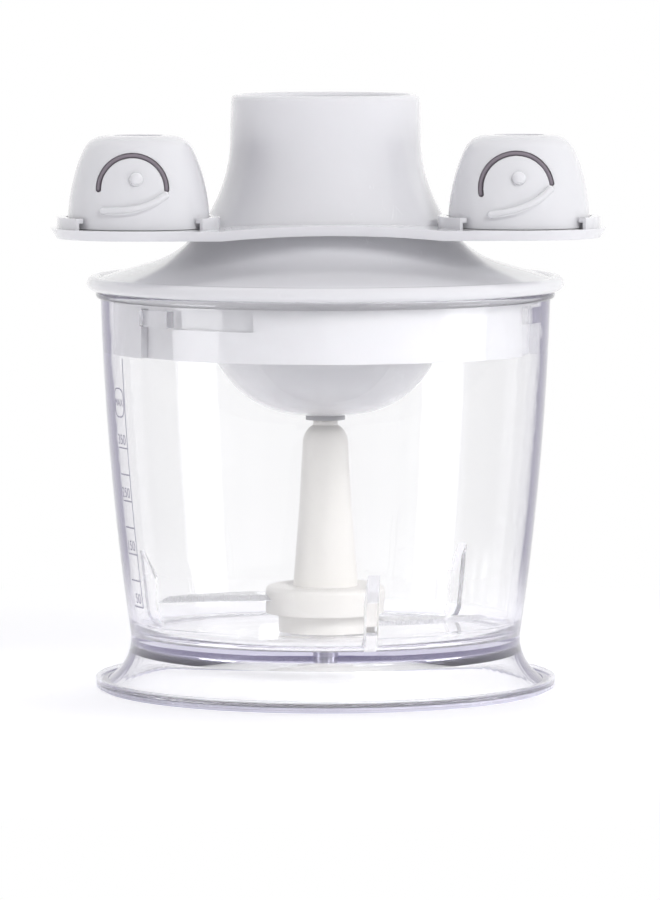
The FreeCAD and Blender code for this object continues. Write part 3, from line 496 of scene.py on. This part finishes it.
# %% Recipe for a moulded plastic
PLASTIC_IOR, COAT_GLOSS = 1.49, 0.05
PEEL_STRENGTH, GLOSS_SWING = 0.25, 0.04
DUST_TRACE, DUST_COLOUR = 0.04, (0.55, 0.53, 0.5, 1)
GLOW_DEPTH, GLOW_REACH = 3 * MM, (1.0, 0.94, 0.96)


def moulded_plastic(name, colour, gloss, peel_size, peel_depth, cloud=0.03, scuff=0.15,
                    depth_glow=0.0, polish=0.0):
    """Plastic with a clouded colour, an orange-peel skin, scuffs in its gloss and a trace of dust."""
    finish, tree, shader = blank_finish(name)
    face = group_node(tree, skin, Colour=(*colour, 1), Cloud=cloud, Peel_size=peel_size)
    worn = group_node(tree, scuffs, Amount=scuff)
    grime = group_node(tree, dust, Amount=DUST_TRACE)
    paint = mixed(tree, "MIX", (grime, "Mask"), (face, "Colour"), DUST_COLOUR)
    wire(tree, (paint, 2), (shader, "Base Color"))
    even = remap(tree, (face, "Sheen"), To_Min=gloss - GLOSS_SWING, To_Max=gloss + GLOSS_SWING)
    rough = sums(tree, "ADD", (even, "Result"), (worn, "Mask"))
    rough = sums(tree, "ADD", (rough, 0), (grime, "Mask"))
    wire(tree, (rough, 0), (shader, "Roughness"))
    dented(tree, shader, (face, "Height"), PEEL_STRENGTH, peel_depth)
    dial(shader, IOR=PLASTIC_IOR, Coat_Weight=polish, Coat_Roughness=COAT_GLOSS,
         Subsurface_Weight=depth_glow, Subsurface_Radius=GLOW_REACH, Subsurface_Scale=GLOW_DEPTH)
    return finish


# %% The opaque plastics
glossy_white = moulded_plastic(
    "glossy_white_plastic", (0.80, 0.80, 0.82), gloss=0.13, peel_size=900.0, peel_depth=0.02 * MM,
    depth_glow=0.3, polish=0.7)
knife_white = moulded_plastic(
    "knife_warm_white", (0.80, 0.785, 0.75), gloss=0.34, peel_size=1400.0, peel_depth=0.03 * MM, scuff=0.22)
housing_grey = moulded_plastic(
    "housing_grey_plastic", (0.42, 0.42, 0.44), gloss=0.45, peel_size=2200.0, peel_depth=0.06 * MM)
gear_cream = moulded_plastic(
    "gear_cream_plastic", (0.80, 0.76, 0.66), gloss=0.38, peel_size=1800.0, peel_depth=0.03 * MM)
seal_white = moulded_plastic(
    "seal_soft_white", (0.78, 0.78, 0.79), gloss=0.55, peel_size=2600.0, peel_depth=0.04 * MM, scuff=0.05)
seal_black = moulded_plastic(
    "seal_black_rubber", (0.03, 0.03, 0.033), gloss=0.6, peel_size=2600.0, peel_depth=0.05 * MM, scuff=0.08)
for finish in (glossy_white, knife_white, housing_grey, gear_cream, seal_white, seal_black):
    print("finish", finish.name)


# %% [markdown]
# ## Clear plastic
#
# The bowl is a clear plastic with a breath of violet that only shows where one looks along the wall, at its
# edges and rims. A coloured skin would tint the whole bowl, so the tint is in the depth of the body: thin
# walls stay clear and edges darken. Light that runs round inside a rim has to get out again, or the rim would
# turn black, so the skin lets a little straight through. The ring under the foot is soft and milky.

# %% Recipe for a clear plastic
BODY = 0.95
CLEAR_IOR, CLEAR_DENSITY, CLEAR_SCUFF = 1.52, 20.0, 0.06
RIPPLE_SIZE, RIPPLE_STRENGTH, RIPPLE_DEPTH = 160.0, 0.06, 0.03 * MM


def clear_plastic(name, gloss, cloud_gloss, tint, colour=(1, 1, 1), through=1.0):
    """See-through plastic whose tint grows with the depth that light passes."""
    finish, tree, shader = blank_finish(name)
    dial(shader, Base_Color=(*colour, 1), Transmission_Weight=through, Alpha=BODY, IOR=CLEAR_IOR)
    face = group_node(tree, skin, Cloud=0.0, Peel_size=RIPPLE_SIZE)
    worn = group_node(tree, scuffs, Amount=CLEAR_SCUFF)
    even = remap(tree, (face, "Sheen"), To_Min=gloss, To_Max=gloss + cloud_gloss)
    rough = sums(tree, "ADD", (even, "Result"), (worn, "Mask"))
    wire(tree, (rough, 0), (shader, "Roughness"))
    dented(tree, shader, (face, "Height"), RIPPLE_STRENGTH, RIPPLE_DEPTH)
    depth = dial(add(tree, "ShaderNodeVolumeAbsorption"), Color=(*tint, 1), Density=CLEAR_DENSITY)
    out = next(n for n in tree.nodes if n.type == "OUTPUT_MATERIAL")
    wire(tree, (depth, 0), (out, "Volume"))
    return finish


bowl_clear = clear_plastic("bowl_clear_plastic", gloss=0.0, cloud_gloss=0.03, tint=(0.78, 0.765, 0.86))
foot_clear = clear_plastic("foot_soft_clear", gloss=0.25, cloud_gloss=0.1, tint=(0.80, 0.79, 0.86),
                           colour=(0.64, 0.63, 0.73), through=0.0)
print("finish", bowl_clear.name, foot_clear.name)


# %% [markdown]
# ## Metals
#
# Pins, screws and the input shaft are turned steel, the bushes turned brass, and the blades are ground flat
# with fine straight lines. A plain metal shader would look like a mirror. Fine rings or lines in the surface
# break up the shine, and a clouded gloss does the rest.

# %% Turned metal
RING_STRENGTH, RING_DEPTH = 0.2, 0.04 * MM


def turned_metal(name, colour, gloss, pitch):
    """Metal with lathe rings round the object's axis."""
    finish, tree, shader = blank_finish(name)
    dial(shader, Metallic=1.0)
    cut = group_node(tree, rings, Pitch=pitch)
    face = group_node(tree, skin, Colour=(*colour, 1), Cloud=0.12)
    wire(tree, (face, "Colour"), (shader, "Base Color"))
    even = remap(tree, (cut, "Mask"), To_Min=gloss - 0.06, To_Max=gloss + 0.1)
    wire(tree, (even, "Result"), (shader, "Roughness"))
    dented(tree, shader, (cut, "Height"), RING_STRENGTH, RING_DEPTH)
    return finish


pin_steel = turned_metal("turned_pin_steel", (0.60, 0.60, 0.61), gloss=0.28, pitch=16000.0)
bush_brass = turned_metal("turned_bush_brass", (0.72, 0.52, 0.24), gloss=0.3, pitch=14000.0)
print("finish", pin_steel.name, bush_brass.name)


# %% Ground metal
GRIT = (5200.0, 260.0, 900.0)
GRIT_STRENGTH, GRIT_DEPTH = 0.25, 0.03 * MM


def ground_metal(name, colour, gloss):
    """Metal with straight grinding lines across the blade."""
    finish, tree, shader = blank_finish(name)
    dial(shader, Metallic=1.0)
    spot = add(tree, "ShaderNodeTexCoord")
    lay = dial(add(tree, "ShaderNodeMapping"), Scale=GRIT)
    wire(tree, (spot, "Object"), (lay, "Vector"))
    grit = noise(tree, (lay, 0), Scale=1.0, Detail=3.0)
    face = group_node(tree, skin, Colour=(*colour, 1), Cloud=0.1)
    worn = group_node(tree, scuffs, Amount=0.12)
    wire(tree, (face, "Colour"), (shader, "Base Color"))
    even = remap(tree, (grit, "Fac"), To_Min=gloss - 0.08, To_Max=gloss + 0.12)
    rough = sums(tree, "ADD", (even, "Result"), (worn, "Mask"))
    wire(tree, (rough, 0), (shader, "Roughness"))
    dented(tree, shader, (grit, "Fac"), GRIT_STRENGTH, GRIT_DEPTH)
    return finish


blade_steel = ground_metal("ground_blade_steel", (0.68, 0.68, 0.70), gloss=0.26)
print("finish", blade_steel.name)


# %% [markdown]
# ## Dressing the solids
#
# Each solid has one material slot. It could be set piece by piece, but a list that says which finish goes
# where is easier to check. A solid that is missing from it becomes glossy white, and the last line names the
# ones that are left over. Lamps shine through clear plastic, so the bowl throws no shadow, but its milky foot
# ring does.

# %% Give every solid its finish
DRESSING = (
    (glossy_white, ("lid_shell", "drive_well", "lid_skirt", "gear_case", "yoke", "cap_left", "cap_right")),
    (bowl_clear, ("bowl",)),
    (foot_clear, ("foot_ring",)),
    (seal_white, ("lid_seal",)),
    (seal_black, ("shaft_seal", "input_seal")),
    (knife_white, ("knife_shaft",)),
    (blade_steel, ("upper_blade", "lower_blade")),
    (pin_steel, ("pivot_pin", "sun_gear", "planet_pins", "gear_cover_screws")),
    (bush_brass, ("output_bush", "input_bush")),
    (housing_grey, ("gear_cover", "planet_carrier", "drive_coupling")),
    (gear_cream, ("ring_gear", "planet_gear_1", "planet_gear_2", "planet_gear_3", "thrust_washer")),
)
finish_of = {name: finish for finish, names in DRESSING for name in names}
for name, solid in nodes.items():
    for slot in solid.material_slots:
        slot.material = finish_of.get(name, glossy_white)
nodes["bowl"].visible_shadow = False
print("dressed", len(nodes), "solids, left over", sorted(set(nodes) - set(finish_of)))


# %% [markdown]
# ## Button, bar and strip of painted shade on the caps
#
# Each cap has a round button under its arc slot and a bar below it. They sit on the plain reliefs of the
# solid, so they are placed with the same measures as the solid: across and up from the middle of the cap's
# foot. Their places could be read off the mesh, but the bulge of the cap is a plain ellipse turned round an
# upright axis, so a formula gives each point on its skin.

# %% Places on a cap
CAP_ACROSS, CAP_BACK, CAP_FOOT = 46.9 * MM, -19.0 * MM, 116.223 * MM
DOME_R, DOME_RISE = 17.5 * MM, 30.0 * MM
SLOT_ACROSS, SLOT_UP = -1.7, 9.8
BUTTON_AT = (-0.8, 12.4)
RIGHT_LEAN = math.radians(9.0)


def on_dome(side, across, up, proud=0.0):
    """Point on the front of a cap, across and up in mm; side is -1 for left and 1 for right, which leans."""
    lean = RIGHT_LEAN if side > 0 else 0.0
    x, z = (across - SLOT_ACROSS) * MM, (up - SLOT_UP) * MM
    x, z = x * math.cos(lean) - z * math.sin(lean), x * math.sin(lean) + z * math.cos(lean)
    x, z = x + SLOT_ACROSS * MM, z + SLOT_UP * MM
    radius = DOME_R * math.sqrt(1 - (z / DOME_RISE) ** 2) + proud
    return side * CAP_ACROSS + x, CAP_BACK - math.sqrt(radius ** 2 - x ** 2), CAP_FOOT + z


print("left button at", [round(v / MM, 2) for v in on_dome(-1, *BUTTON_AT)])


# %% [markdown]
# ## The button
#
# A moulded button has no sharp edge: it is a little dome. A squashed ball would be quicker, but its side
# would not stand straight on the cap. A short cylinder keeps that side, and a wide bevel rounds its front.

# %% Round button
BUTTON_R, BUTTON_RISE, BUTTON_SUNK = 1.75 * MM, 1.55 * MM, 0.6 * MM
BUTTON_ROUND = 1.4 * MM
FRONT_SLACK = 1e-6


def cap_button(name, side):
    """Cylinder through the skin of the cap, its front edge beveled until it is a dome."""
    x, y, z = on_dome(side, *BUTTON_AT)
    depth = BUTTON_RISE + BUTTON_SUNK
    bpy.ops.object.select_all(action="DESELECT")
    bpy.ops.mesh.primitive_cylinder_add(
        vertices=48, radius=BUTTON_R, depth=depth,
        location=(x, y - BUTTON_RISE + depth / 2, z), rotation=(math.pi / 2, 0, 0))
    button = bpy.context.object
    button.name = name
    bpy.ops.object.transform_apply(location=True, rotation=True, scale=True)
    bpy.ops.object.mode_set(mode="EDIT")
    bpy.ops.mesh.select_mode(type="VERT")
    bpy.ops.mesh.select_all(action="DESELECT")
    bpy.ops.object.mode_set(mode="OBJECT")
    front = min(v.co.y for v in button.data.vertices)
    for corner in button.data.vertices:
        corner.select = corner.co.y < front + FRONT_SLACK
    bpy.ops.object.mode_set(mode="EDIT")
    bpy.ops.mesh.bevel(offset=BUTTON_ROUND, segments=8, profile=0.5)
    bpy.ops.mesh.select_all(action="SELECT")
    bpy.ops.mesh.normals_make_consistent(inside=False)
    bpy.ops.object.mode_set(mode="OBJECT")
    bpy.ops.object.shade_smooth_by_angle(angle=math.radians(40))
    return button


print("buttons will be", round(2 * BUTTON_R / MM, 2), "mm wide")


# %% [markdown]
# ## The bar and the strip of painted shade
#
# The bar is round and lies on the bulge. The inside of the cap, seen through the arc slot, is in shade, so a
# round mauve strip lies in the slot, a little below the skin, as painted shade. Both could be cut from a
# ring, but a curve with thickness follows the bulge by itself. Its ends are welded to balls, because moulded
# ends are round.

# %% Round cord
SAME_POINT = 0.001 * MM


def plain_cord(name, path, thick):
    """Cord along a path, drawn as a curve with thickness, then made a closed mesh."""
    bpy.ops.object.select_all(action="DESELECT")
    bpy.ops.curve.primitive_nurbs_path_add()
    cord = bpy.context.object
    cord.name = name
    spline = cord.data.splines[0]
    spline.points.add(len(path) - len(spline.points))
    for point, place in zip(spline.points, path):
        point.co = (*place, 1)
    spline.order_u = 3
    spline.use_endpoint_u = True
    cord.data.bevel_depth = thick
    cord.data.bevel_resolution = 5
    cord.data.use_fill_caps = True
    bpy.ops.object.convert(target="MESH")
    bpy.ops.object.mode_set(mode="EDIT")
    bpy.ops.mesh.select_all(action="SELECT")
    bpy.ops.mesh.remove_doubles(threshold=SAME_POINT)
    bpy.ops.mesh.normals_make_consistent(inside=False)
    bpy.ops.object.mode_set(mode="OBJECT")
    return cord


# %% Round ends
BALL_OVER = 1.002


def round_cord(name, path, thick):
    """Cord whose ends are welded to a ball."""
    cord = plain_cord(name, path, thick)
    for end in (path[0], path[-1]):
        bpy.ops.object.select_all(action="DESELECT")
        bpy.ops.mesh.primitive_uv_sphere_add(
            segments=20, ring_count=12, radius=thick * BALL_OVER, location=end)
        ball = bpy.context.object
        bpy.context.view_layer.objects.active = cord
        weld = cord.modifiers.new("round_end", "BOOLEAN")
        weld.operation = "UNION"
        weld.object = ball
        bpy.ops.object.modifier_apply(modifier=weld.name)
        bpy.data.objects.remove(ball)
    cord.select_set(True)
    bpy.ops.object.shade_smooth_by_angle(angle=math.radians(50))
    return cord


# %% Bar below the button, strip of painted shade in the slot
BAR_THICK, BAR_PROUD = 0.95 * MM, 0.35 * MM
BAR_PATH = ((-8.9, 4.7), (-6.6, 4.65), (-4.0, 4.8), (-1.4, 5.2), (1.4, 5.8), (4.0, 6.9), (6.3, 8.5))
# The strip in the slot is painted shade: a dark mauve that stands for the shaded inside of the cap.
SHADE_STRIP_THICK, SHADE_STRIP_DEEP = 0.6 * MM, 1.0 * MM
SHADE_STRIP_STEPS = 24
SLOT_R = {-1: 8.3, 1: 8.7}


def cap_bar(name, side):
    """Bar that lies on the front of the cap."""
    return round_cord(name, [on_dome(side, *place, BAR_PROUD) for place in BAR_PATH], BAR_THICK)


def cap_shade_strip(name, side):
    """Half a ring of painted shade in the arc slot, a little below the skin, for the shaded inside of the
    cap.
    """
    path = []
    for k in range(SHADE_STRIP_STEPS + 1):
        turn = math.pi * (1 - k / SHADE_STRIP_STEPS)
        across = SLOT_ACROSS + SLOT_R[side] * math.cos(turn)
        up = SLOT_UP + SLOT_R[side] * math.sin(turn)
        path.append(on_dome(side, across, up, -SHADE_STRIP_DEEP))
    return round_cord(name, path, SHADE_STRIP_THICK)


print("bar along", len(BAR_PATH), "points, shade strip along", SHADE_STRIP_STEPS + 1)


# %% Put them on both caps
# The mauve of the slot strip is painted shade for the inside of the cap seen through the slot.
slot_shade_paint = moulded_plastic(
    "slot_painted_shade", (0.25, 0.22, 0.25), gloss=0.4, peel_size=1800.0, peel_depth=0.03 * MM)
for body, side in (("cap_left", -1), ("cap_right", 1)):
    for piece, finish, slot_name in ((cap_button(body + "_button", side), glossy_white, "white_gloss"),
                                     (cap_bar(body + "_bar", side), glossy_white, "white_gloss"),
                                     (cap_shade_strip(body + "_shade_strip", side), slot_shade_paint, "grey_plastic")):
        piece.data.materials.clear()
        piece.data.materials.append(finish)
        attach(piece, body)
        print(piece.name, len(piece.data.polygons), "faces")


# %% [markdown]
# ## The volume scale
#
# The bowl carries a printed scale on its left: an upright line, a tick every 50 ml, a number every 100 ml,
# and a framed mark for the highest filling. A picture of it could be projected onto the bowl, but edges stay
# sharper as a mesh. A printer lays such a scale out flat and rolls it on, so bars and words are laid out flat
# before the bowl first.

# %% Flat bars
SCALE_BEFORE = -0.07
LONG_BAR = 0.02
SHORT_CUTS, LONG_CUTS = 6, 40


def printed_bar(name, left, low, width, height):
    """Flat printed bar that faces the front, cut up so that it can follow the wall."""
    bpy.ops.object.select_all(action="DESELECT")
    bpy.ops.mesh.primitive_plane_add(
        size=1, location=(left + width / 2, SCALE_BEFORE, low + height / 2), rotation=(math.pi / 2, 0, 0))
    bar = bpy.context.object
    bar.name = name
    bar.scale = (width, height, 1)
    bpy.ops.object.transform_apply(location=True, rotation=True, scale=True)
    bpy.ops.object.mode_set(mode="EDIT")
    bpy.ops.mesh.select_all(action="SELECT")
    bpy.ops.mesh.subdivide(number_cuts=SHORT_CUTS if max(width, height) < LONG_BAR else LONG_CUTS)
    bpy.ops.object.mode_set(mode="OBJECT")
    return bar


print("bars are laid out", round(-SCALE_BEFORE / MM), "mm before the axis")


# %% Line and ticks
LINE, TICK, STEP = 0.35 * MM, 5.6 * MM, 6.6 * MM
TOP_TICK, LINE_TOP = 61.7 * MM, 84.0 * MM
TICKS, TOP_AMOUNT, AMOUNT_STEP = 7, 350, 50

last_tick = TOP_TICK - (TICKS - 1) * STEP
marks = [printed_bar("scale_line", 0, last_tick, LINE, LINE_TOP - last_tick)]
marks.append(printed_bar(f"scale_tick_{TOP_AMOUNT}", -TICK, TOP_TICK - LINE / 2, TICK, LINE))
for k in range(1, TICKS):
    bpy.ops.object.duplicate()
    bpy.context.object.name = f"scale_tick_{TOP_AMOUNT - AMOUNT_STEP * k}"
    bpy.ops.transform.translate(value=(0, 0, -STEP))
    marks.append(bpy.context.object)
lowest = TOP_TICK + marks[-1].location.z
print("scale with", len(marks) - 1, "ticks, lowest at", round(lowest / MM, 1), "mm")


# %% Numbers
NUMBER_H = 2.5 * MM
NUMBER_ASIDE, NUMBER_OVER = -0.6 * MM, 0.9 * MM
CAPITAL_SHARE = 0.7


def printed_words(words, right, low, height):
    """Flat printed number or word whose right end is at a given place."""
    bpy.ops.object.select_all(action="DESELECT")
    bpy.ops.object.text_add(location=(right, SCALE_BEFORE, low), rotation=(math.pi / 2, 0, 0))
    text = bpy.context.object
    text.name = "scale_word_" + words
    text.data.body = words
    text.data.align_x = "RIGHT"
    text.data.size = height / CAPITAL_SHARE
    text.data.resolution_u = 4
    bpy.ops.object.convert(target="MESH")
    bpy.ops.object.transform_apply(location=True, rotation=True, scale=True)
    return text


for k in range(0, TICKS, 2):
    amount = str(TOP_AMOUNT - AMOUNT_STEP * k)
    marks.append(printed_words(amount, NUMBER_ASIDE, TOP_TICK - k * STEP + NUMBER_OVER, NUMBER_H))
    print("number", amount)


# %% Framed mark for the highest filling
FRAME_W, FRAME_H, FRAME_LOW = 6.4 * MM, 7.4 * MM, 69.2 * MM
FRAME_ROUND, FRAME_ASIDE = 2.4 * MM, 0.3 * MM
WORD_ASIDE, WORD_OVER, WORD_H = -0.95 * MM, 2.9 * MM, 1.75 * MM

bpy.ops.object.select_all(action="DESELECT")
bpy.ops.mesh.primitive_plane_add(
    size=1, location=(-FRAME_W / 2 - FRAME_ASIDE, SCALE_BEFORE, FRAME_LOW + FRAME_H / 2),
    rotation=(math.pi / 2, 0, 0))
ring = bpy.context.object
ring.name = "scale_frame"
ring.scale = (FRAME_W, FRAME_H, 1)
bpy.ops.object.transform_apply(location=True, rotation=True, scale=True)
bpy.ops.object.mode_set(mode="EDIT")
bpy.ops.mesh.select_all(action="SELECT")
bpy.ops.mesh.bevel(offset=FRAME_ROUND, segments=8, affect="VERTICES")
bpy.ops.mesh.select_all(action="SELECT")
bpy.ops.mesh.inset(thickness=LINE, depth=0)
bpy.ops.mesh.delete(type="FACE")
bpy.ops.object.mode_set(mode="OBJECT")
marks.append(ring)
marks.append(printed_words("MAX", WORD_ASIDE, FRAME_LOW + WORD_OVER, WORD_H))
print("frame with", len(ring.data.polygons), "faces")


# %% [markdown]
# ## Pressing the scale on
#
# So far the scale is flat. It could be bent with a Simple Deform modifier, but the wall of the bowl also
# leans and bulges. Shrinkwrap sends every point straight onto the wall, whatever its shape, and Solidify
# gives the print the thickness of ink.

# %% Press the print onto the bowl
SCALE_TURN = math.radians(67.0)
PRINT_GAP, INK = 0.02 * MM, 0.04 * MM

bpy.ops.object.select_all(action="DESELECT")
for mark in marks:
    mark.select_set(True)
bpy.context.view_layer.objects.active = marks[0]
bpy.ops.object.join()
print_on_bowl = bpy.context.object
print_on_bowl.name = "volume_scale"
print_on_bowl.rotation_euler = (0, 0, -SCALE_TURN)
press = print_on_bowl.modifiers.new("press_on", "SHRINKWRAP")
press.target = nodes["bowl"]
press.wrap_method = "PROJECT"
press.use_project_y = True
press.use_positive_direction = True
press.use_negative_direction = False
press.offset = PRINT_GAP
bpy.ops.object.modifier_apply(modifier=press.name)
ink = print_on_bowl.modifiers.new("ink", "SOLIDIFY")
ink.thickness = INK
ink.offset = 1
bpy.ops.object.modifier_apply(modifier=ink.name)
bpy.ops.object.transform_apply(location=True, rotation=True, scale=True)
reach = [math.hypot(v.co.x, v.co.y) / MM for v in print_on_bowl.data.vertices]
print("print at radius", round(min(reach), 2), "to", round(max(reach), 2), "mm,", len(reach), "points")


# %% Ink
scale_ink = moulded_plastic(
    "scale_ink", (0.36, 0.34, 0.43), gloss=0.45, peel_size=3000.0, peel_depth=0.01 * MM,
    cloud=0.25, scuff=0.1)
print_on_bowl.data.materials.clear()
print_on_bowl.data.materials.append(scale_ink)
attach(print_on_bowl, "bowl")
print("finish", scale_ink.name)
